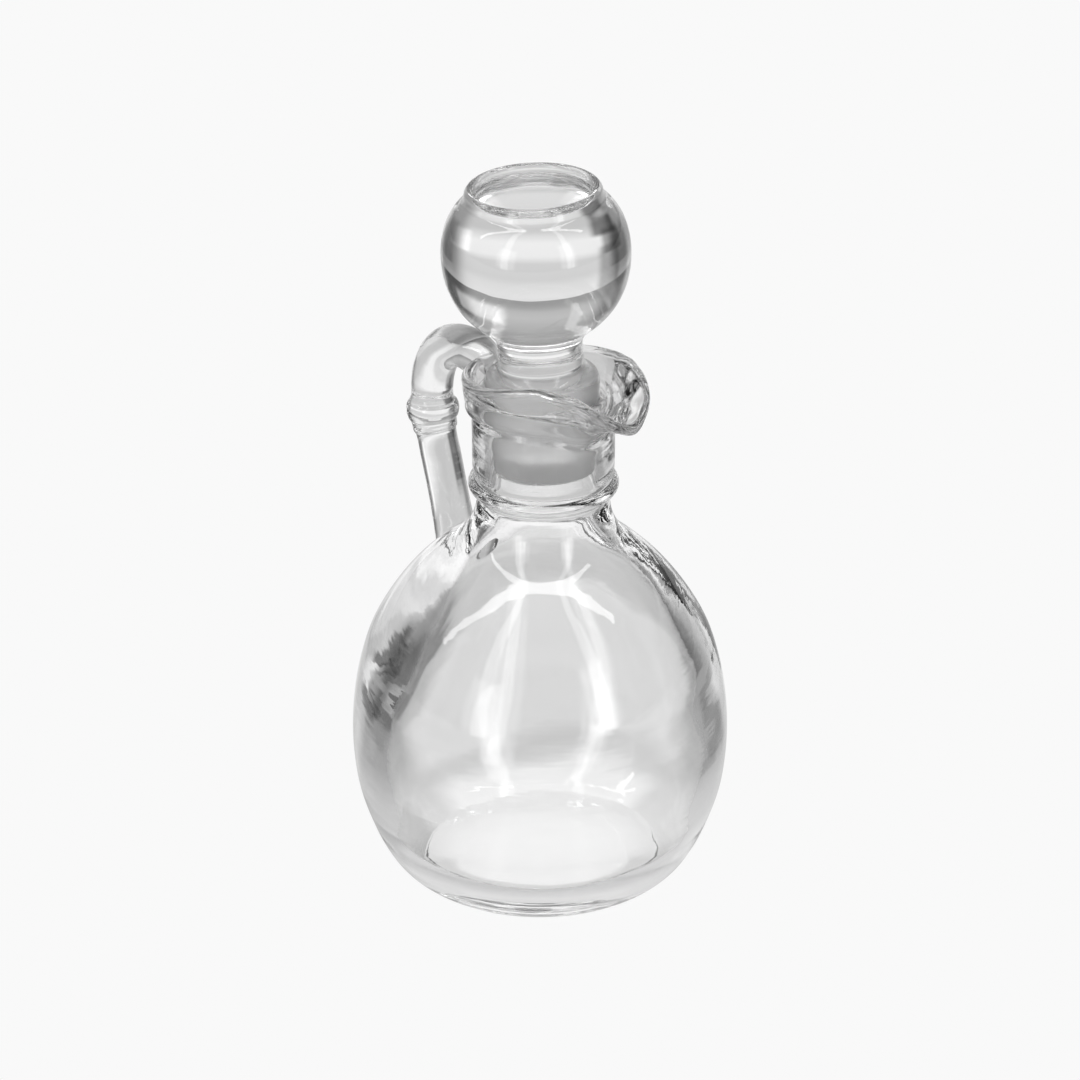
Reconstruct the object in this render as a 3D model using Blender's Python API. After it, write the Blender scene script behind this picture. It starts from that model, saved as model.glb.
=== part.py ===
"""Clear glass oil and vinegar cruet: a round bottle with a pouring lip and an applied rod handle,
and the ball stopper that rests in its neck. Metres, +Z up, the lip toward +X, the handle toward -X."""

from math import atan2, cos, hypot, pi, radians, sin

import bmesh
import bpy
from mathutils import Matrix, Vector

MM = 0.001

# Lathe steps round the bottle and the stopper
BOTTLE_STEPS = 72
STOPPER_STEPS = 48
HANDLE_SIDES = 16

# Outside of the bottle from the base up to the neck, as (radius, height) in mm
OUTSIDE = [
    (0.0, 0.0), (24.2, 0.0), (25.2, 0.0), (27.4, 1.2), (30.1, 3.5), (32.7, 7.5), (35.05, 13.0),
    (36.9, 19.0), (37.75, 25.0), (38.0, 31.0), (37.55, 38.0), (36.3, 45.0), (34.1, 52.0),
    (30.2, 59.0), (25.6, 65.0), (21.2, 69.3), (16.4, 73.5), (14.1, 77.3), (13.3, 80.5),
    (13.4, 82.6),
]
# The raised ring round the neck
RING_HEIGHT = 85.0
RING_RADIUS = 14.95
RING_ROUND = 1.4
NECK_RADIUS = 14.1
NECK_TOP = 95.0

# Rim and collar by angle from the lip in degrees: (angle, outer radius, top height, foot height) in mm
RIM = [
    (0.0, 27.0, 106.4, 98.6), (12.0, 25.7, 109.3, 99.0), (25.0, 21.8, 112.1, 100.1),
    (40.0, 18.4, 112.3, 101.1), (60.0, 16.5, 111.2, 101.3), (90.0, 16.1, 109.5, 101.2),
    (130.0, 16.1, 108.2, 101.2), (180.0, 16.1, 108.0, 101.2),
]
RIM_PLAIN = 16.1
RIM_REACH = 27.0
RIM_WALL = 2.4
# The small step where the collar leaves the neck, as (rise from the foot, radius beyond the neck) in mm
FOOT = [(-0.6, 0.0), (0.0, 0.3), (0.4, 0.95), (0.8, 1.2)]
# Collar above its foot: share of the height, share of the reach where plain, and under the lip
COLLAR_SHARES = [(0.26, 0.5, 0.12), (0.53, 0.75, 0.42), (0.78, 0.9, 0.74), (1.0, 1.0, 1.0)]
FLARE_SHARES = [0.75, 0.5, 0.25, 0.0]

# Mouth and cavity from the mouth down to the floor, as (radius, height) in mm
MOUTH_RADIUS = 12.3
MOUTH_HEIGHT = 104.8
INSIDE = [
    (12.1, 101.5), (11.8, 97.5), (11.3, 92.5), (10.8, 87.0), (10.3, 82.0), (10.6, 77.0), (12.7, 72.5),
    (16.6, 67.3), (20.8, 61.3), (24.4, 54.5), (27.8, 46.5), (30.2, 37.5), (31.4, 28.0), (30.9, 20.0),
    (29.4, 13.0), (27.0, 8.8), (25.1, 6.3), (24.2, 5.4), (23.1, 5.0), (12.0, 5.0), (0.0, 5.0),
]
# The blown cavity and the neck sit off the body's axis, toward OFF_AXIS: (height, cavity, neck) in mm
OFF_AXIS = radians(50.0)
OFFSETS = [
    (0.0, 0.0, 0.0), (8.0, 0.3, 0.0), (28.0, 0.9, 0.0), (37.0, 1.1, 0.0), (46.0, 2.0, 0.0),
    (54.0, 2.1, 0.0), (62.0, 1.7, 0.0), (70.0, 0.9, 0.2), (76.0, 0.7, 0.5), (83.0, 0.7, 0.7), (160.0, 0.7, 0.7),
]

# Handle rod: (distance from the axis, height, rod radius) in mm
HANDLE = [
    (13.3, 103.6, 3.0), (15.2, 104.3, 3.7), (18.0, 105.4, 4.15), (21.5, 106.2, 4.3), (25.0, 106.0, 4.3),
    (28.3, 104.7, 4.3), (31.0, 102.3, 4.3), (32.9, 99.0, 4.3), (33.8, 95.5, 4.3), (33.95, 92.3, 4.3),
    (33.95, 91.4, 4.6), (33.9, 90.5, 5.2), (33.8, 89.2, 5.4), (33.6, 87.9, 5.15), (33.4, 86.8, 4.6),
    (33.0, 85.3, 4.5), (32.8, 84.6, 4.15), (31.2, 79.5, 4.1), (29.4, 73.5, 4.05), (27.9, 68.3, 4.1), (26.9, 64.3, 4.2),
    (26.5, 61.0, 3.9), (26.5, 58.6, 2.8),
]

# Stopper from the end of its plug to the dish in its top, as (radius, height) in mm
STOPPER = [
    (0.0, 89.0), (6.0, 89.0), (9.6, 89.0), (10.1, 89.6), (10.5, 94.5), (10.9, 99.5), (11.2, 104.0),
    (11.4, 107.2), (11.0, 108.2), (9.6, 108.9), (8.6, 110.2), (8.35, 112.0), (8.35, 114.5), (8.7, 116.2),
    (10.3, 118.2), (13.0, 120.5), (15.7, 123.7), (17.6, 127.8), (18.4, 132.0), (18.3, 136.5),
    (17.2, 140.5), (15.4, 143.4), (13.9, 144.9), (13.6, 145.6), (13.3, 146.8), (12.6, 147.55),
    (12.0, 147.5), (11.65, 147.1), (11.5, 146.3), (11.3, 145.6), (10.8, 145.3), (8.0, 145.2), (4.0, 145.2),
    (0.0, 145.2),
]
# The stopper leans away from OFF_AXIS about a point in its plug
STOPPER_LEAN = radians(2.3)
STOPPER_PIVOT = 97.0


def between(rows, x, column):
    """Value of a column at x, straight between the rows."""
    for low, high in zip(rows, rows[1:]):
        if x <= high[0]:
            t = (x - low[0]) / (high[0] - low[0])
            return low[column] + (high[column] - low[column]) * t
    return rows[-1][column]


def rim_at(angle):
    """Outer radius, top height and foot height at an angle from the lip, smooth through the rows of RIM."""
    degrees = abs(angle) * 180 / pi
    values = []
    for column in (1, 2, 3):
        i = max(k for k in range(len(RIM) - 1) if degrees >= RIM[k][0] or k == 0)
        x0, x1 = RIM[i][0], RIM[i + 1][0]
        y0, y1 = RIM[i][column], RIM[i + 1][column]

        def slope(k):
            if k in (0, len(RIM) - 1):
                return 0.0
            left = (RIM[k][column] - RIM[k - 1][column]) / (RIM[k][0] - RIM[k - 1][0])
            right = (RIM[k + 1][column] - RIM[k][column]) / (RIM[k + 1][0] - RIM[k][0])
            return 0.0 if left * right <= 0 else 2 * left * right / (left + right)

        t = (degrees - x0) / (x1 - x0)
        a, b = slope(i) * (x1 - x0), slope(i + 1) * (x1 - x0)
        values.append(
            y0 * (2 * t**3 - 3 * t**2 + 1) + a * (t**3 - 2 * t**2 + t)
            + y1 * (3 * t**2 - 2 * t**3) + b * (t**3 - t**2)
        )
    return values


def collar(angle):
    """Rings of the collar at an angle: up its outside, over the rim and down the flare to the mouth."""
    reach, top, foot = rim_at(angle)
    spout = (reach - RIM_PLAIN) / (RIM_REACH - RIM_PLAIN)
    rings = [(NECK_RADIUS + out, foot + rise) for rise, out in FOOT]
    start_radius, start = rings[-1]
    for height, plain, lip in COLLAR_SHARES:
        out = plain + (lip - plain) * spout
        rings.append((start_radius + (reach - start_radius) * out, start + (top - 1.2 - start) * height))
    rings.append((reach - 0.35, top - 0.4))
    rings.append((reach - 1.1, top))
    rings.append((reach - 1.9, top - 0.3))
    inner, low = reach - RIM_WALL, top - 0.9
    rings.append((inner, low))
    for share in FLARE_SHARES:
        rings.append((MOUTH_RADIUS + (inner - MOUTH_RADIUS) * share,
                      MOUTH_HEIGHT + (low - MOUTH_HEIGHT) * share**1.4))
    return rings


def lathe(name, profile, steps):
    """One closed solid turned about Z from a profile that starts and ends on the axis."""
    shape = bmesh.new()
    verts = [shape.verts.new((r * MM, 0, z * MM)) for r, z in profile]
    edges = [shape.edges.new(pair) for pair in zip(verts, verts[1:])]
    bmesh.ops.spin(shape, geom=verts + edges, axis=(0, 0, 1), cent=(0, 0, 0), angle=2 * pi,
                   steps=steps, use_merge=True)
    bmesh.ops.remove_doubles(shape, verts=shape.verts, dist=1e-6)
    bmesh.ops.recalc_face_normals(shape, faces=shape.faces)
    return finished(name, shape)


def finished(name, shape):
    mesh = bpy.data.meshes.new(name)
    shape.to_mesh(mesh)
    shape.free()
    thing = bpy.data.objects.new(name, mesh)
    bpy.context.scene.collection.objects.link(thing)
    for face in mesh.polygons:
        face.use_smooth = True
    return thing


def off_axis(z, column):
    return between(OFFSETS, z, column)


def bottle_shell():
    """The bottle without its handle: turned, then drawn out at the rim and set off its axis."""
    ring = []
    for k in range(7):
        turn = radians(-75 + 25 * k)
        ring.append((RING_RADIUS - RING_ROUND + RING_ROUND * cos(turn), RING_HEIGHT + RING_ROUND * sin(turn)))
    outside = OUTSIDE + ring + [(NECK_RADIUS, 87.2), (NECK_RADIUS, NECK_TOP)]
    plain = collar(pi)
    profile = outside + plain + INSIDE
    first, last = len(outside), len(outside) + len(plain)
    thing = lathe("bottle", profile, BOTTLE_STEPS)
    toward = Vector((cos(OFF_AXIS), sin(OFF_AXIS), 0))
    for vert in thing.data.vertices:
        x, y, z = (c / MM for c in vert.co)
        radius = hypot(x, y)
        k = min(range(len(profile)), key=lambda i: hypot(profile[i][0] - radius, profile[i][1] - z))
        if first <= k < last:
            angle = atan2(y, x)
            radius, z = collar(angle)[k - first]
            x, y = radius * cos(angle), radius * sin(angle)
        shift = off_axis(z, 1 if k >= last else 2)
        vert.co = (Vector((x, y, z)) + toward * shift) * MM
    return thing


def handle_rod():
    """The applied rod: rings across a path in the XZ plane, bridged and closed at both ends."""
    shape = bmesh.new()
    rows = []
    points = [Vector((-r, 0, z)) for r, z, _ in HANDLE]
    for i, (_, _, radius) in enumerate(HANDLE):
        along = (points[min(i + 1, len(points) - 1)] - points[max(i - 1, 0)]).normalized()
        side = Vector((0, 1, 0))
        up = along.cross(side)
        row = []
        for k in range(HANDLE_SIDES):
            turn = 2 * pi * (k + 0.5) / HANDLE_SIDES
            row.append(shape.verts.new((points[i] + (side * cos(turn) + up * sin(turn)) * radius) * MM))
        rows.append([shape.edges.new((row[k], row[(k + 1) % HANDLE_SIDES])) for k in range(HANDLE_SIDES)])
    for low, high in zip(rows, rows[1:]):
        bmesh.ops.bridge_loops(shape, edges=low + high)
    for row in (rows[0], rows[-1]):
        bmesh.ops.contextual_create(shape, geom=row)
    bmesh.ops.recalc_face_normals(shape, faces=shape.faces)
    return finished("handle_rod", shape)


def glass(name, colour, roughness):
    """Clear colourless glass."""
    material = bpy.data.materials.new(name)
    material.use_nodes = True
    shader = material.node_tree.nodes["Principled BSDF"]
    shader.inputs["Base Color"].default_value = colour
    shader.inputs["Roughness"].default_value = roughness
    shader.inputs["Metallic"].default_value = 0.0
    shader.inputs["IOR"].default_value = 1.5
    shader.inputs["Transmission Weight"].default_value = 1.0
    return material


def main():
    for thing in list(bpy.data.objects):
        bpy.data.objects.remove(thing)

    bottle = bottle_shell()
    bottle.data.materials.append(glass("bottle glass", (0.90, 0.91, 0.91, 1), 0.02))

    rod = handle_rod()
    rod.hide_render = True
    rod.display_type = "WIRE"
    join = bottle.modifiers.new("handle", "BOOLEAN")
    join.operation = "UNION"
    join.solver = "EXACT"
    join.object = rod

    stopper = lathe("stopper", STOPPER, STOPPER_STEPS)
    stopper.data.materials.append(glass("stopper glass", (0.93, 0.94, 0.94, 1), 0.02))
    toward = Vector((cos(OFF_AXIS), sin(OFF_AXIS), 0))
    pivot = Vector((0, 0, STOPPER_PIVOT)) * MM
    lean = Matrix.Rotation(-STOPPER_LEAN, 4, Vector((0, 0, 1)).cross(toward))
    shift = Matrix.Translation(toward * off_axis(STOPPER_PIVOT, 2) * MM)
    stopper.matrix_world = shift @ Matrix.Translation(pivot) @ lean @ Matrix.Translation(-pivot)


main()
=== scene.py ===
"""Clear glass oil and vinegar cruet with its ball stopper, on a plain pale floor in soft studio light.

Every size below is in millimetres unless its name or a comment says otherwise, and becomes metres where
vertices are made.
"""

import logging
from dataclasses import dataclass
from enum import Enum
from math import atan2, cos, hypot, pi, radians, sin, sqrt

import bmesh
import bpy
from mathutils import Matrix, Vector

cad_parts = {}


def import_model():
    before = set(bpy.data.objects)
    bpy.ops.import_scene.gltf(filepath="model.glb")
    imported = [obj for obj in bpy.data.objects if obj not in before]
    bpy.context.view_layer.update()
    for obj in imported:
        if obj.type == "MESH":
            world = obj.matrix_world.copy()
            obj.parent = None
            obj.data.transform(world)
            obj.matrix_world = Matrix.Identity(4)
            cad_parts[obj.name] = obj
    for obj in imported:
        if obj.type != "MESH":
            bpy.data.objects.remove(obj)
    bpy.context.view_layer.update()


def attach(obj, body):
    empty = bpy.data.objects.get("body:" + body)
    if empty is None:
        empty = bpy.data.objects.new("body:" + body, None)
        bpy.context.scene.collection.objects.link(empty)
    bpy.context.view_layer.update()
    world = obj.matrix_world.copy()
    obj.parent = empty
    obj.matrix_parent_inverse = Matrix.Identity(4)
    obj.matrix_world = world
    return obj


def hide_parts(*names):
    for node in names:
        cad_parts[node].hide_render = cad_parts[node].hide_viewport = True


MM = 0.001
log = logging.getLogger("cruet")

Row = tuple[float, ...]
Socket = bpy.types.NodeSocket
Level = float | Socket


class Surface(Enum):
    """How the surface of a piece of glass is worked."""

    POLISHED = "polished all over"
    GROUND_PLUG = "polished, with a ground plug"


@dataclass(frozen=True)
class BodySizes:
    """Outside and inside of the bottle, and how it departs from a true turning."""

    outside: tuple[Row, ...] = (
        (0.0, 0.0), (24.2, 0.0), (25.2, 0.0), (27.4, 1.2), (30.1, 3.5), (32.7, 7.5), (35.05, 13.0),
        (36.9, 19.0), (37.75, 25.0), (38.0, 31.0), (37.55, 38.0), (36.3, 45.0), (34.1, 52.0),
        (30.2, 59.0), (25.6, 65.0), (21.2, 69.3), (16.4, 73.5), (14.1, 77.3), (13.3, 80.5),
        (13.2, 82.8),
    )
    ring_height: float = 85.0
    ring_radius: float = 14.95
    ring_round: float = 1.4
    # directions of the points round the ring, in degrees from level
    ring_turns: tuple[float, ...] = (-75.0, -50.0, -25.0, 0.0, 25.0, 50.0, 75.0)
    neck_radius: float = 14.1
    neck: tuple[Row, ...] = ((13.75, 87.0), (14.0, 88.2), (14.1, 92.5), (14.1, 95.0))
    mouth_radius: float = 12.3
    mouth_height: float = 104.8
    inside: tuple[Row, ...] = (
        (12.1, 101.5), (11.8, 97.5), (11.3, 92.5), (10.8, 87.0), (10.3, 82.0), (10.6, 77.0), (12.7, 72.5),
        (16.6, 67.3), (20.8, 61.3), (24.4, 54.5), (27.8, 46.5), (30.2, 37.5), (31.4, 28.0), (30.9, 20.0),
        (29.4, 13.0), (27.0, 8.8), (25.4, 6.6), (24.7, 5.5), (24.25, 4.8), (23.8, 4.2), (23.35, 4.75),
        (22.9, 5.0), (12.0, 5.0), (0.0, 5.0),
    )
    off_axis: float = radians(50.0)
    # height, and how far the inside and the outside stand off the axis there
    offsets: tuple[Row, ...] = (
        (0.0, 0.0, 0.0), (8.0, 0.3, 0.0), (28.0, 0.9, 0.0), (37.0, 1.1, 0.0), (46.0, 2.0, 0.0),
        (54.0, 2.1, 0.0), (62.0, 1.7, 0.0), (70.0, 0.9, 0.2), (76.0, 0.7, 0.5), (83.0, 0.7, 0.7),
        (160.0, 0.7, 0.7),
    )
    steps: int = 192
    pieces: int = 4
    sharp: float = radians(38.0)

    def toward(self) -> Vector:
        """Direction in which the cavity and the neck stand off the axis."""
        return Vector((cos(self.off_axis), sin(self.off_axis), 0))


@dataclass(frozen=True)
class RimSizes:
    """Wavy collar and rim: rows of angle from the lip in degrees, outer radius, top height and foot height."""

    rows: tuple[Row, ...] = (
        (0.0, 27.0, 106.4, 98.6), (12.0, 25.7, 109.3, 99.0), (25.0, 21.8, 112.1, 100.1),
        (40.0, 18.4, 112.3, 101.1), (60.0, 16.5, 111.2, 101.3), (90.0, 16.1, 109.5, 101.2),
        (130.0, 16.1, 108.2, 101.2), (180.0, 16.1, 108.0, 101.2),
    )
    plain: float = 16.1
    reach: float = 27.0
    wall: float = 2.4
    foot_radius: float = 15.3
    # rise from the foot and radius beyond the neck
    foot: tuple[Row, ...] = (
        (-2.0, 0.0), (-1.1, -0.35), (-0.3, -0.45), (0.0, 0.2), (0.0, 0.95), (0.45, 1.35), (1.0, 1.3),
    )
    # share of the height above the foot, and of the reach where plain and under the lip
    shares: tuple[Row, ...] = ((0.3, 0.45, 0.14), (0.64, 0.75, 0.55))
    brow: float = 1.2
    # fall from the rim's top and distance inside its edge, from the groove under it up over it
    roll: tuple[Row, ...] = ((2.0, 0.15), (1.6, 0.15), (1.1, 0.0), (0.45, 0.12), (0.0, 0.8), (0.2, 1.7))
    inner_fall: float = 0.9
    flare_shares: tuple[float, ...] = (0.75, 0.5, 0.25, 0.0)
    flare_bend: float = 1.4


@dataclass(frozen=True)
class HandleSizes:
    """Applied rod: rows of distance from the axis, height and rod radius."""

    rows: tuple[Row, ...] = (
        (13.3, 103.6, 3.0), (15.2, 104.3, 3.7), (18.0, 105.4, 4.15), (21.5, 106.2, 4.3), (25.0, 106.0, 4.3),
        (28.3, 104.7, 4.3), (31.0, 102.3, 4.3), (32.9, 99.0, 4.3), (33.8, 95.5, 4.3), (33.95, 92.3, 4.3),
        (33.95, 91.4, 4.6), (33.9, 90.5, 5.2), (33.8, 89.2, 5.4), (33.6, 87.9, 5.15), (33.4, 86.8, 4.6),
        (33.0, 85.3, 4.5), (32.8, 84.6, 4.15), (31.2, 79.5, 4.1), (29.4, 73.5, 4.05), (27.9, 68.3, 4.1),
        (26.9, 64.3, 4.2), (26.5, 61.0, 3.9), (26.5, 58.6, 2.8),
    )
    sides: int = 48
    pieces: int = 6


@dataclass(frozen=True)
class StopperSizes:
    """Stopper from the end of its plug to the dish in its top, and its lean."""

    rows: tuple[Row, ...] = (
        (0.0, 89.0), (6.0, 89.0), (9.85, 89.0), (10.35, 89.6), (10.75, 94.5), (11.1, 99.5), (11.35, 104.0),
        (11.4, 107.2), (11.0, 108.2), (9.6, 108.9), (8.6, 110.2), (8.35, 112.0), (8.35, 114.5), (8.7, 116.2),
        (10.3, 118.2), (13.0, 120.5), (15.7, 123.7), (17.6, 127.8), (18.4, 132.0), (18.3, 136.5),
        (17.2, 140.5), (15.4, 143.4), (13.9, 144.9), (13.6, 145.6), (13.3, 146.8), (12.6, 147.55),
        (12.0, 147.5), (11.65, 147.1), (11.5, 146.3), (11.3, 145.6), (10.8, 145.3), (8.0, 145.2), (4.0, 145.2),
        (0.0, 145.2),
    )
    lean: float = radians(2.3)
    pivot: float = 97.0
    steps: int = 160
    pieces: int = 5


def spline(points: list[Row], pieces: int) -> list[Row]:
    """Smooth curve through points.

    Args:
        points: two or three numbers each.
        pieces: steps between neighbouring points.

    Returns:
        The points with pieces - 1 new ones in each gap.
    """
    out = []
    count = len(points)
    for i in range(count - 1):
        p1, p2 = points[i], points[i + 1]
        p0 = points[i - 1] if i else tuple(2 * a - b for a, b in zip(p1, p2))
        p3 = points[i + 2] if i + 2 < count else tuple(2 * b - a for a, b in zip(p1, p2))
        d0, d1, d2 = (max(1e-6, sqrt(hypot(*(b - a for a, b in zip(p, q)))))
                      for p, q in ((p0, p1), (p1, p2), (p2, p3)))
        for k in range(pieces):
            t = k / pieces
            row = []
            for a0, a1, a2, a3 in zip(p0, p1, p2, p3):
                m1 = (a2 - a1) + d1 * ((a1 - a0) / d0 - (a2 - a0) / (d0 + d1))
                m2 = (a2 - a1) + d1 * ((a3 - a2) / d2 - (a3 - a1) / (d1 + d2))
                row.append((2 * a1 - 2 * a2 + m1 + m2) * t**3
                           + (-3 * a1 + 3 * a2 - 2 * m1 - m2) * t**2 + m1 * t + a1)
            out.append(tuple(row))
    out.append(tuple(points[-1]))
    return out


def slope(rows: tuple[Row, ...], k: int, column: int) -> float:
    """Slope at one row of a smooth curve that doesn't overshoot its rows.

    Args:
        rows: numbers whose first column rises.
        k: the row.
        column: the column that the curve follows.

    Returns:
        Change of the column for each unit of the first one, zero at both ends and at each turn.
    """
    if k in (0, len(rows) - 1):
        return 0.0
    left = (rows[k][column] - rows[k - 1][column]) / (rows[k][0] - rows[k - 1][0])
    right = (rows[k + 1][column] - rows[k][column]) / (rows[k + 1][0] - rows[k][0])
    return 0.0 if left * right <= 0 else 2 * left * right / (left + right)


def between(rows: tuple[Row, ...], x: float, column: int) -> float:
    """Value read off a smooth curve that keeps to rows.

    Args:
        rows: numbers whose first column rises.
        x: place in the first column.
        column: the column that is read.

    Returns:
        The column's value at x.
    """
    i = max([k for k in range(len(rows) - 1) if x >= rows[k][0]] or [0])
    step = rows[i + 1][0] - rows[i][0]
    t = min(1.0, max(0.0, (x - rows[i][0]) / step))
    y0, y1 = rows[i][column], rows[i + 1][column]
    a, b = slope(rows, i, column) * step, slope(rows, i + 1, column) * step
    return (y0 * (2 * t**3 - 3 * t**2 + 1) + a * (t**3 - 2 * t**2 + t)
            + y1 * (3 * t**2 - 2 * t**3) + b * (t**3 - t**2))


def finished(name: str, shape: bmesh.types.BMesh) -> bpy.types.Object:
    """Makes a smooth object, faces outward, and frees its shape.

    Args:
        name: name of the object and its mesh.
        shape: what it is made from.

    Returns:
        The object, in the scene.
    """
    bmesh.ops.recalc_face_normals(shape, faces=shape.faces)
    mesh = bpy.data.meshes.new(name)
    shape.to_mesh(mesh)
    shape.free()
    for face in mesh.polygons:
        face.use_smooth = True
    thing = bpy.data.objects.new(name, mesh)
    bpy.context.scene.collection.objects.link(thing)
    return thing


def turned(profile: list[Row], steps: int) -> tuple[bmesh.types.BMesh, bmesh.types.BMLayerItem]:
    """Turns a profile into a closed shape.

    Args:
        profile: radius and height of each point, the first and last on the axis.
        steps: points round the axis.

    Returns:
        The shape, and the layer that holds each vertex's place in the profile.
    """
    shape = bmesh.new()
    ring = shape.verts.layers.int.new("ring")
    verts = []
    for k, (r, z) in enumerate(profile):
        vert = shape.verts.new((r * MM, 0, z * MM))
        vert[ring] = k
        verts.append(vert)
    edges = [shape.edges.new(pair) for pair in zip(verts, verts[1:])]
    bmesh.ops.spin(shape, geom=verts + edges, axis=(0, 0, 1), cent=(0, 0, 0), angle=2 * pi,
                   steps=steps, use_merge=True)
    bmesh.ops.remove_doubles(shape, verts=shape.verts, dist=1e-6)
    return shape, ring


class Wiring:
    """Short hand for shader nodes in one tree."""

    def __init__(self, tree: bpy.types.NodeTree) -> None:
        """Keeps the tree's nodes and links."""
        self.nodes, self.links = tree.nodes, tree.links

    def math(self, kind: str, *values: Level, clamp: bool = False) -> Socket:
        """Adds a math node.

        Args:
            kind: its operation.
            values: a number or a socket for each input.
            clamp: whether the result is kept between zero and one.

        Returns:
            Its output.
        """
        node = self.nodes.new("ShaderNodeMath")
        node.operation, node.use_clamp = kind, clamp
        for socket, value in zip(node.inputs, values):
            if isinstance(value, (int, float)):
                socket.default_value = value
            else:
                self.links.new(value, socket)
        return node.outputs[0]

    def step(self, value: Socket, low: float, high: float, start: float = 0.0, end: float = 1.0) -> Socket:
        """Adds a smooth step.

        Args:
            value: what is stepped.
            low: where the step starts.
            high: where it ends.
            start: level before it.
            end: level after it.

        Returns:
            The level.
        """
        node = self.nodes.new("ShaderNodeMapRange")
        node.interpolation_type = "SMOOTHSTEP"
        for name, number in (("From Min", low), ("From Max", high), ("To Min", start), ("To Max", end)):
            node.inputs[name].default_value = number
        self.links.new(value, node.inputs["Value"])
        return node.outputs["Result"]

    def ramp(self, value: Socket, rows: tuple[Row, ...]) -> Socket:
        """Adds straight lines between rows.

        Args:
            value: what is looked up.
            rows: value and level of each corner.

        Returns:
            The level.
        """
        curve = self.nodes.new("ShaderNodeFloatCurve")
        low, high = rows[0][0], rows[-1][0]
        points = curve.mapping.curves[0].points
        for i, (at, level) in enumerate(rows):
            place = (at - low) / (high - low)
            point = points[i] if i < 2 else points.new(place, level)
            point.location = (place, level)
            point.handle_type = "VECTOR"
        curve.mapping.use_clip = False
        curve.mapping.extend = "HORIZONTAL"
        curve.mapping.update()
        self.links.new(self.math("DIVIDE", self.math("SUBTRACT", value, low), high - low, clamp=True),
                       curve.inputs["Value"])
        return curve.outputs["Value"]

    def window(self, value: Socket, low: float, high: float, soft: float) -> Socket:
        """Adds a window with soft edges.

        Args:
            value: what is tested.
            low: lower edge.
            high: upper edge.
            soft: width over which it falls off beyond each edge.

        Returns:
            One inside the window and zero far outside it.
        """
        return self.math("MULTIPLY", self.step(value, low - soft, low), self.step(value, high + soft, high))

    def all_of(self, *values: Socket) -> Socket:
        """Multiplies values.

        Args:
            values: one socket or more.

        Returns:
            Their product.
        """
        out = values[0]
        for value in values[1:]:
            out = self.math("MULTIPLY", out, value)
        return out

    def less(self, share: float, mask: Socket) -> Socket:
        """One, less a share of it where mask is."""
        return self.math("MULTIPLY_ADD", mask, -share, 1.0)

    def dot(self, vector: Socket, direction: Row) -> Socket:
        """Adds a dot product.

        Args:
            vector: socket of the vector.
            direction: three numbers.

        Returns:
            The vector's part along the direction.
        """
        node = self.nodes.new("ShaderNodeVectorMath")
        node.operation = "DOT_PRODUCT"
        node.inputs[1].default_value = direction
        self.links.new(vector, node.inputs[0])
        return node.outputs["Value"]

    def noise(self, vector: Socket, scale: float, detail: float) -> Socket:
        """Adds a noise.

        Args:
            vector: where it is read.
            scale: its scale.
            detail: its detail.

        Returns:
            The noise's level.
        """
        node = self.nodes.new("ShaderNodeTexNoise")
        node.inputs["Scale"].default_value = scale
        node.inputs["Detail"].default_value = detail
        self.links.new(vector, node.inputs["Vector"])
        return node.outputs["Fac"]


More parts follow.
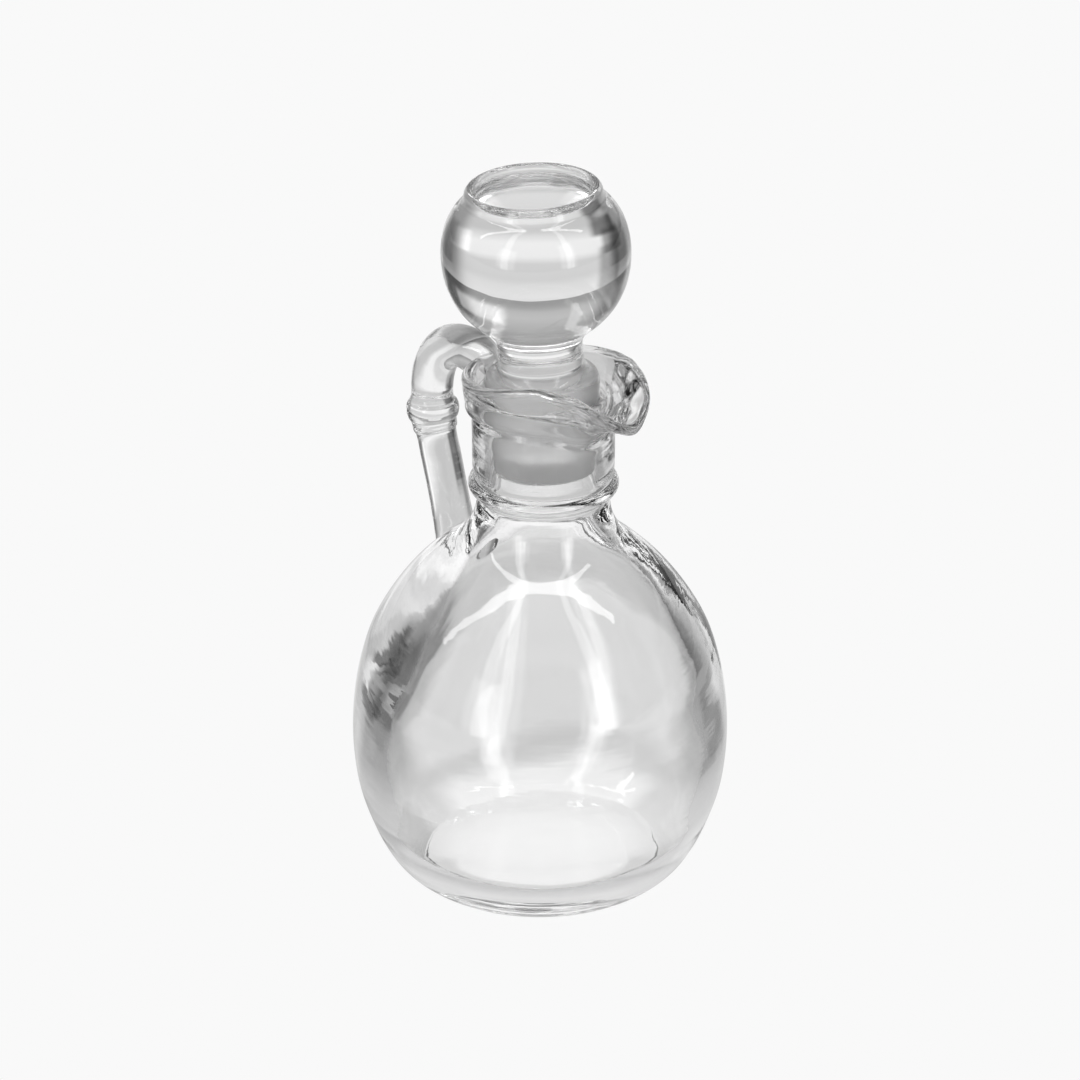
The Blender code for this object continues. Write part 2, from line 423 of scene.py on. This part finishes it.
@dataclass(frozen=True)
class GlassFinish:
    """Clear pressed glass, with faint ripples and a trace of uneven tint. Noise scales are for metres."""

    tint: tuple[float, float, float] = (0.96, 0.96, 0.96)
    tint_least: float = 0.985
    tint_most: float = 1.01
    tint_scale: float = 35.0
    tint_detail: float = 2.0
    ior: float = 1.5
    roughness: float = 0.0
    ground: float = 0.45
    ground_tone: float = 0.76
    ground_low: float = 89.9
    ground_high: float = 104.6
    ground_wide: float = 13.0
    # widths over which the grinding fades below, above and beyond its zone, and its share on the plug's end
    ground_fades: tuple[float, float, float] = (0.4, 0.6, 0.3)
    ground_end: float = 0.4
    ripple: float = 0.12
    ripple_scale: float = 90.0
    ripple_detail: float = 1.5
    streaks: float = 0.25
    streak_scales: tuple[float, float, float] = (60.0, 60.0, 420.0)
    streak_detail: float = 2.0

    def zone(self, w: Wiring, place: Socket) -> Socket:
        """Adds the ground zone of the plug.

        Args:
            w: the material's wiring.
            place: the point in the piece.

        Returns:
            One where the glass is ground.
        """
        x, y, z = (w.dot(place, d) for d in ((1, 0, 0), (0, 1, 0), (0, 0, 1)))
        radius = w.math("SQRT", w.math("ADD", w.math("MULTIPLY", x, x), w.math("MULTIPLY", y, y)))
        low, high, wide = (v * MM for v in (self.ground_low, self.ground_high, self.ground_wide))
        below, above, beyond = (v * MM for v in self.ground_fades)
        return w.all_of(w.step(z, low - below, low, self.ground_end, 1.0), w.step(z, high, high - above),
                        w.step(radius, wide + beyond, wide))

    def grind(self, w: Wiring, place: Socket, colour: Socket, shader: bpy.types.Node) -> None:
        """Makes the plug rough and greyer.

        Args:
            w: the material's wiring.
            place: the point in the piece.
            colour: the colour of the clear glass.
            shader: the shader that it goes to.
        """
        zone = self.zone(w, place)
        w.links.new(w.math("MULTIPLY_ADD", zone, self.ground - self.roughness, self.roughness),
                    shader.inputs["Roughness"])
        frosted = w.nodes.new("ShaderNodeMix")
        frosted.data_type, frosted.blend_type = "RGBA", "MULTIPLY"
        factor, first, second = frosted.inputs[0], frosted.inputs[6], frosted.inputs[7]
        second.default_value = (*[self.ground_tone] * 3, 1)
        w.links.new(zone, factor)
        w.links.new(colour, first)
        w.links.new(frosted.outputs[2], shader.inputs["Base Color"])

    def material(self, name: str, surface: Surface) -> bpy.types.Material:
        """Makes the glass of one piece.

        Args:
            name: material name.
            surface: how the piece's surface is worked.

        Returns:
            The material.
        """
        material = bpy.data.materials.new(name)
        material.use_nodes = True
        tree = material.node_tree
        w = Wiring(tree)
        shader = tree.nodes["Principled BSDF"]
        shader.inputs["IOR"].default_value = self.ior
        shader.inputs["Transmission Weight"].default_value = 1.0
        shader.inputs["Roughness"].default_value = self.roughness
        place = tree.nodes.new("ShaderNodeTexCoord").outputs["Object"]
        ramp = tree.nodes.new("ShaderNodeValToRGB")
        least, most = ramp.color_ramp.elements
        least.color = (*(c * self.tint_least for c in self.tint), 1)
        most.color = (*(min(1.0, c * self.tint_most) for c in self.tint), 1)
        w.links.new(w.noise(place, self.tint_scale, self.tint_detail), ramp.inputs["Fac"])
        w.links.new(ramp.outputs["Color"], shader.inputs["Base Color"])
        if surface is Surface.GROUND_PLUG:
            self.grind(w, place, ramp.outputs["Color"], shader)
        drawn = tree.nodes.new("ShaderNodeMapping")
        drawn.inputs["Scale"].default_value = self.streak_scales
        w.links.new(place, drawn.inputs["Vector"])
        streak = w.noise(drawn.outputs["Vector"], 1.0, self.streak_detail)
        ripple = w.noise(place, self.ripple_scale, self.ripple_detail)
        bump = tree.nodes.new("ShaderNodeBump")
        bump.inputs["Strength"].default_value = 1.0
        bump.inputs["Distance"].default_value = self.ripple * MM
        w.links.new(w.math("MULTIPLY_ADD", streak, self.streaks, ripple), bump.inputs["Height"])
        w.links.new(bump.outputs["Normal"], shader.inputs["Normal"])
        return material


@dataclass(frozen=True)
class Bottle:
    """The bottle: turned shell, drawn-out rim and applied handle, one piece of glass."""

    body: BodySizes
    rim: RimSizes
    handle: HandleSizes
    finish: GlassFinish

    def collar(self, angle: float) -> list[Row]:
        """Rings of the collar.

        Args:
            angle: turn from the lip in radians.

        Returns:
            Radius and height of each ring, up the outside, over the rim and down the flare to the mouth.
        """
        body, rim = self.body, self.rim
        degrees = abs(angle) * 180 / pi
        reach, top, foot = (between(rim.rows, degrees, column) for column in (1, 2, 3))
        spout = (reach - rim.plain) / (rim.reach - rim.plain)
        rings = [(body.neck_radius + out, foot + rise) for rise, out in rim.foot]
        start = foot + rim.foot[-1][0]
        for height, plain, lip in rim.shares:
            out = plain + (lip - plain) * spout
            rings.append((rim.foot_radius + (reach - rim.foot_radius) * out,
                          start + (top - rim.brow - start) * height))
        rings += [(reach - inside, top - fall) for fall, inside in rim.roll]
        inner, low = reach - rim.wall, top - rim.inner_fall
        rings.append((inner, low))
        for share in rim.flare_shares:
            rings.append((body.mouth_radius + (inner - body.mouth_radius) * share,
                          body.mouth_height + (low - body.mouth_height) * share**rim.flare_bend))
        return rings

    def profile(self, angle: float) -> tuple[list[Row], int]:
        """Whole smooth profile.

        Args:
            angle: turn from the lip in radians.

        Returns:
            Radius and height of each point, and the place in it where the inside starts.
        """
        body = self.body
        rows = list(body.outside)
        for turn in map(radians, body.ring_turns):
            rows.append((body.ring_radius - body.ring_round + body.ring_round * cos(turn),
                         body.ring_height + body.ring_round * sin(turn)))
        rows += list(body.neck) + self.collar(angle)
        inner = len(rows)
        return spline(rows + list(body.inside), body.pieces), inner * body.pieces

    def shell(self) -> bpy.types.Object:
        """The bottle without its handle: a turning whose vertices are then drawn out to each angle's profile.

        Returns:
            The object.
        """
        body = self.body
        plain, inner = self.profile(pi)
        shape, ring = turned(plain, body.steps)
        profiles: dict[int, list[Row]] = {}
        for vert in shape.verts:
            k = vert[ring]
            if plain[k][0] == 0:
                radius, z, x, y = 0.0, plain[k][1], 0.0, 0.0
            else:
                angle = atan2(vert.co.y, vert.co.x)
                key = round(abs(angle) * body.steps / (2 * pi))
                if key not in profiles:
                    profiles[key] = self.profile(key * 2 * pi / body.steps)[0]
                radius, z = profiles[key][k]
                x, y = radius * cos(angle), radius * sin(angle)
            shift = between(body.offsets, z, 1 if k >= inner else 2)
            vert.co = (Vector((x, y, max(0.0, z))) + body.toward() * shift) * MM
        return finished("bottle_glass", shape)

    def rod(self) -> bpy.types.Object:
        """The applied handle: rings along its path, bridged.

        Returns:
            The object.
        """
        rows = spline(list(self.handle.rows), self.handle.pieces)
        sides = self.handle.sides
        points = [Vector((-r, 0, z)) for r, z, _ in rows]
        shape = bmesh.new()
        loops = []
        for i, (_, _, radius) in enumerate(rows):
            along = (points[min(i + 1, len(points) - 1)] - points[max(i - 1, 0)]).normalized()
            side = Vector((0, 1, 0))
            up = along.cross(side)
            row = []
            for k in range(sides):
                turn = 2 * pi * (k + 0.5) / sides
                row.append(shape.verts.new((points[i] + (side * cos(turn) + up * sin(turn)) * radius) * MM))
            loops.append([shape.edges.new((row[k], row[(k + 1) % sides])) for k in range(sides)])
        for low, high in zip(loops, loops[1:]):
            bmesh.ops.bridge_loops(shape, edges=low + high)
        for loop in (loops[0], loops[-1]):
            bmesh.ops.contextual_create(shape, geom=loop)
        return finished("handle_rod", shape)

    def build(self) -> bpy.types.Object:
        """Shell and rod joined into one closed mesh.

        Returns:
            The bottle.
        """
        shell, rod = self.shell(), self.rod()
        join = shell.modifiers.new("handle", "BOOLEAN")
        join.operation, join.solver, join.object = "UNION", "MANIFOLD", rod
        bpy.context.view_layer.update()
        joined = bpy.data.meshes.new_from_object(shell.evaluated_get(bpy.context.evaluated_depsgraph_get()))
        shell.modifiers.clear()
        old = shell.data
        shell.data = joined
        bpy.data.meshes.remove(old)
        bpy.data.objects.remove(rod)
        for face in joined.polygons:
            face.use_smooth = True
        joined.set_sharp_from_angle(angle=self.body.sharp)
        return shell

    def dress(self, thing: bpy.types.Object) -> None:
        """Gives the bottle its glass and its place in the frame.

        Args:
            thing: the bottle.
        """
        thing.data.materials.clear()
        thing.data.materials.append(self.finish.material("bottle_glass", Surface.POLISHED))
        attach(thing, "root")
        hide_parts("bottle")


@dataclass(frozen=True)
class Stopper:
    """The ball stopper, leaning as it rests."""

    sizes: StopperSizes
    body: BodySizes
    finish: GlassFinish

    def build(self) -> bpy.types.Object:
        """Turned solid, tipped about a point in its plug.

        Returns:
            The stopper.
        """
        sizes, toward = self.sizes, self.body.toward()
        shape, _ = turned(spline(list(sizes.rows), sizes.pieces), sizes.steps)
        pivot = Vector((0, 0, sizes.pivot)) * MM
        lean = Matrix.Rotation(-sizes.lean, 4, Vector((0, 0, 1)).cross(toward))
        shift = Matrix.Translation(toward * between(self.body.offsets, sizes.pivot, 2) * MM)
        shape.transform(shift @ Matrix.Translation(pivot) @ lean @ Matrix.Translation(-pivot))
        return finished("stopper_glass", shape)

    def dress(self, thing: bpy.types.Object) -> None:
        """Gives the stopper its glass and its place in the frame.

        Args:
            thing: the stopper.
        """
        thing.data.materials.clear()
        thing.data.materials.append(self.finish.material("stopper_glass", Surface.GROUND_PLUG))
        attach(thing, "root")
        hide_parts("stopper")


@dataclass(frozen=True)
class Shade:
    """Painted shade in the floor's glow, seen only through the glass, or a darker part of the room's light:
    degrees to the right of ahead, and distance or rise.

    A depth below zero is a painted bright part.
    """

    start: float
    end: float
    soft: float
    low: float
    high: float
    fade: float
    depth: float


@dataclass(frozen=True)
class Panel:
    """Bright panel of the room: degrees to the right of ahead and degrees of rise."""

    start: float
    end: float
    soft: float
    low: float
    high: float
    radiance: float


@dataclass(frozen=True)
class Overhead:
    """Long bright panel overhead: where its edges lie for each unit of height above the object."""

    near: float = -0.29
    far: float = -0.19
    left: float = -1.85
    right: float = 1.1
    soft: float = 0.02
    radiance: float = 7.5
    least_up: float = 0.05
    # upward part of a direction where the panel starts, and where it is full
    fade_in: tuple[float, float] = (0.1, 0.3)


@dataclass(frozen=True)
class StudioSizes:
    """Camera fitted to the photograph, floor and light."""

    distance: float = 800.0
    height: float = 461.25
    pitch: float = radians(25.945)
    azimuth: float = radians(50.0)
    focal_px: float = 4465.76
    frame_px: float = 1080.0
    sensor: float = 36.0
    # metres
    clip: tuple[float, float] = (0.01, 50.0)
    bounces: int = 24
    gloss_bounces: int = 12
    floor_side: float = 6000.0
    floor_drop: float = 0.2
    pale: float = 0.947
    # distance from the axis, and the floor's light there as the glass sees it: ahead, and to the sides
    glow_ahead: tuple[Row, ...] = (
        (0.0, 1.12), (15.0, 1.10), (22.0, 0.98), (30.0, 1.08), (40.0, 1.05), (46.0, 0.76), (54.0, 0.70),
        (66.0, 0.84), (85.0, 0.82), (98.0, 0.80), (112.0, 0.80), (122.0, 0.64), (150.0, 0.60), (200.0, 0.62),
        (260.0, 0.96), (340.0, 0.94), (400.0, 0.70), (600.0, 0.68), (800.0, 0.76), (1500.0, 0.80),
    )
    glow_side: tuple[Row, ...] = (
        (0.0, 1.12), (15.0, 1.10), (25.0, 0.92), (38.0, 0.76), (60.0, 0.60), (80.0, 0.46), (110.0, 0.38),
        (200.0, 0.36), (300.0, 0.24), (600.0, 0.26), (1500.0, 0.40),
    )
    # degrees from ahead where the sides start and end, and the width over which they fade
    side: tuple[float, float, float] = (48.0, 90.0, 16.0)
    # painted shade, and one painted bright patch, in the floor's glow; the camera never sees them, only the glass
    # does
    floor_shades: tuple[Shade, ...] = (
        Shade(-46.0, -30.0, 7.0, 178.0, 236.0, 26.0, 0.72),
        Shade(-62.0, -46.0, 7.0, 150.0, 250.0, 20.0, 0.26),
        Shade(36.0, 51.0, 6.0, 235.0, 350.0, 24.0, -0.36),
        Shade(-60.0, -44.0, 8.0, 290.0, 640.0, 70.0, 0.42),
        Shade(-50.0, -36.0, 6.0, 236.0, 370.0, 30.0, 0.55),
        Shade(-45.0, -33.0, 6.0, 340.0, 6000.0, 40.0, 0.45),
        Shade(52.0, 68.0, 6.0, 225.0, 700.0, 40.0, 0.40),
        Shade(42.0, 62.0, 6.0, 99.0, 121.0, 8.0, 0.30),
        Shade(62.0, 92.0, 8.0, 82.0, 100.0, 6.0, 0.22),
        Shade(-200.0, -70.0, 14.0, 31.0, 47.0, 4.0, 0.35),
        Shade(104.0, 200.0, 14.0, 31.0, 47.0, 4.0, 0.35),
        Shade(-200.0, -100.0, 14.0, 19.0, 29.0, 3.0, 0.25),
        Shade(100.0, 200.0, 14.0, 19.0, 29.0, 3.0, 0.25),
    )
    # rise of a direction above the horizon in degrees, and the room's light there
    room: tuple[Row, ...] = (
        (0.0, 0.42), (2.0, 0.48), (5.0, 0.64), (9.0, 0.68), (16.0, 0.60), (24.0, 0.52), (45.0, 0.45), (90.0, 0.70),
    )
    room_shades: tuple[Shade, ...] = (
        Shade(45.0, 82.0, 15.0, -5.0, 18.0, 10.0, 0.80),
        Shade(-75.0, -42.0, 15.0, -5.0, 18.0, 10.0, 0.60),
        Shade(100.0, 200.0, 15.0, -5.0, 50.0, 12.0, 0.75),
        Shade(-200.0, -100.0, 15.0, -5.0, 50.0, 12.0, 0.75),
    )
    panels: tuple[Panel, ...] = (
        Panel(18.0, 46.0, 5.0, 6.0, 14.0, 0.45),
        Panel(-145.0, -138.0, 3.0, 0.0, 75.0, 3.2),
        Panel(-152.0, -134.0, 5.0, 2.0, 26.0, 2.2),
        Panel(135.0, 141.0, 3.0, 0.0, 75.0, 3.2),
        Panel(133.0, 147.0, 5.0, 2.0, 34.0, 2.4),
    )
    overhead: Overhead = Overhead()


@dataclass(frozen=True)
class Studio:
    """Floor, world, lights and camera."""

    sizes: StudioSizes

    def ahead(self) -> Row:
        """Level direction in which the camera looks."""
        return (-sin(self.sizes.azimuth), cos(self.sizes.azimuth), 0.0)

    def right(self) -> Row:
        """Level direction to the right of the picture."""
        return (cos(self.sizes.azimuth), sin(self.sizes.azimuth), 0.0)

    def camera(self) -> None:
        """Camera at the photograph's place."""
        s = self.sizes
        data = bpy.data.cameras.new("camera")
        data.sensor_width = s.sensor
        data.lens = s.focal_px / s.frame_px * s.sensor
        data.clip_start, data.clip_end = s.clip
        thing = bpy.data.objects.new("camera", data)
        ahead, up = Vector(self.ahead()), Vector((0, 0, 1))
        thing.location = (up * s.height - ahead * s.distance) * MM
        look = ahead * cos(s.pitch) - up * sin(s.pitch)
        thing.rotation_euler = look.to_track_quat("-Z", "Y").to_euler()
        bpy.context.scene.collection.objects.link(thing)
        bpy.context.scene.camera = thing

    def shaded(self, w: Wiring, level: Socket, shades: tuple[Shade, ...], turn: Socket, reach: Socket) -> Socket:
        """Takes shades off a level of light.

        Args:
            w: the wiring.
            level: light before the shades.
            shades: the shades.
            turn: degrees to the right of ahead.
            reach: distance on the floor, or rise in the room.

        Returns:
            The light that is left.
        """
        for shade in shades:
            mask = w.all_of(w.window(turn, shade.start, shade.end, shade.soft),
                            w.window(reach, shade.low, shade.high, shade.fade))
            level = w.all_of(level, w.less(shade.depth, mask))
        return level

    def floor(self) -> None:
        """Plain pale floor to the camera, lit from below like a light table; what glass bends from it falls off to
        the sides and carries painted shade.
        """
        s = self.sizes
        shape = bmesh.new()
        bmesh.ops.create_grid(shape, x_segments=1, y_segments=1, size=s.floor_side / 2 * MM)
        thing = finished("floor", shape)
        thing.location.z = -s.floor_drop * MM
        material = bpy.data.materials.new("pale floor")
        material.use_nodes = True
        tree = material.node_tree
        tree.nodes.clear()
        w = Wiring(tree)
        place = tree.nodes.new("ShaderNodeNewGeometry").outputs["Position"]
        ahead, right = w.dot(place, self.ahead()), w.dot(place, self.right())
        away = w.math("SQRT", w.math("ADD", w.math("MULTIPLY", ahead, ahead), w.math("MULTIPLY", right, right)))
        away = w.math("DIVIDE", away, MM)
        turn = w.math("DEGREES", w.math("ARCTAN2", right, ahead))
        front, side = w.ramp(away, s.glow_ahead), w.ramp(away, s.glow_side)
        aside = w.window(w.math("ABSOLUTE", turn), *s.side)
        level = w.math("ADD", front, w.math("MULTIPLY", aside, w.math("SUBTRACT", side, front)))
        # painted shade taken off the floor's glow where the glass sees it
        level = self.shaded(w, level, s.floor_shades, turn, away)
        path = tree.nodes.new("ShaderNodeLightPath").outputs["Is Camera Ray"]
        mix = tree.nodes.new("ShaderNodeMix")
        mix.data_type = "FLOAT"
        factor, bent, seen = mix.inputs[0], mix.inputs[2], mix.inputs[3]
        w.links.new(path, factor)
        w.links.new(level, bent)
        seen.default_value = s.pale
        glow = tree.nodes.new("ShaderNodeEmission")
        w.links.new(mix.outputs[0], glow.inputs["Strength"])
        out = tree.nodes.new("ShaderNodeOutputMaterial")
        w.links.new(glow.outputs["Emission"], out.inputs["Surface"])
        thing.data.materials.append(material)

    def world(self) -> None:
        """Pale to the camera; to the glass a grey room, lighter overhead."""
        s, top = self.sizes, self.sizes.overhead
        world = bpy.data.worlds.new("studio")
        bpy.context.scene.world = world
        world.use_nodes = True
        tree = world.node_tree
        tree.nodes.clear()
        w = Wiring(tree)
        way = tree.nodes.new("ShaderNodeTexCoord").outputs["Generated"]
        ahead, right, up = w.dot(way, self.ahead()), w.dot(way, self.right()), w.dot(way, (0, 0, 1))
        turn = w.math("DEGREES", w.math("ARCTAN2", right, ahead))
        rise = w.math("DEGREES", w.math("ARCSINE", up))
        level = self.shaded(w, w.ramp(rise, s.room), s.room_shades, turn, rise)
        for panel in s.panels:
            mask = w.all_of(w.window(turn, panel.start, panel.end, panel.soft),
                            w.window(rise, panel.low, panel.high, panel.soft))
            level = w.math("MULTIPLY_ADD", mask, panel.radiance, level)
        height = w.math("MAXIMUM", up, top.least_up)
        mask = w.all_of(w.window(w.math("DIVIDE", ahead, height), top.near, top.far, top.soft),
                        w.window(w.math("DIVIDE", right, height), top.left, top.right, top.soft),
                        w.step(up, *top.fade_in))
        level = w.math("MULTIPLY_ADD", mask, top.radiance, level)
        room = tree.nodes.new("ShaderNodeBackground")
        w.links.new(level, room.inputs["Strength"])
        pale = tree.nodes.new("ShaderNodeBackground")
        pale.inputs["Color"].default_value = (1, 1, 1, 1)
        pale.inputs["Strength"].default_value = s.pale
        path = tree.nodes.new("ShaderNodeLightPath")
        mix = tree.nodes.new("ShaderNodeMixShader")
        out = tree.nodes.new("ShaderNodeOutputWorld")
        w.links.new(path.outputs["Is Camera Ray"], mix.inputs["Fac"])
        w.links.new(room.outputs["Background"], mix.inputs[1])
        w.links.new(pale.outputs["Background"], mix.inputs[2])
        w.links.new(mix.outputs["Shader"], out.inputs["Surface"])

    def build(self) -> None:
        """Everything round the object."""
        scene = bpy.context.scene
        scene.view_settings.view_transform = "Standard"
        scene.cycles.max_bounces = self.sizes.bounces
        scene.cycles.transmission_bounces = self.sizes.bounces
        scene.cycles.glossy_bounces = self.sizes.gloss_bounces
        self.camera()
        self.floor()
        self.world()


def main() -> None:
    """Loads the frame, builds and dresses both pieces and sets the studio."""
    logging.basicConfig(level=logging.INFO, format="%(message)s")
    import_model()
    body, finish = BodySizes(), GlassFinish()
    for maker in (Bottle(body, RimSizes(), HandleSizes(), finish), Stopper(StopperSizes(), body, finish)):
        piece = maker.build()
        maker.dress(piece)
        log.info("%s: %d faces", piece.name, len(piece.data.polygons))
    Studio(StudioSizes()).build()


if __name__ == "__main__":
    main()
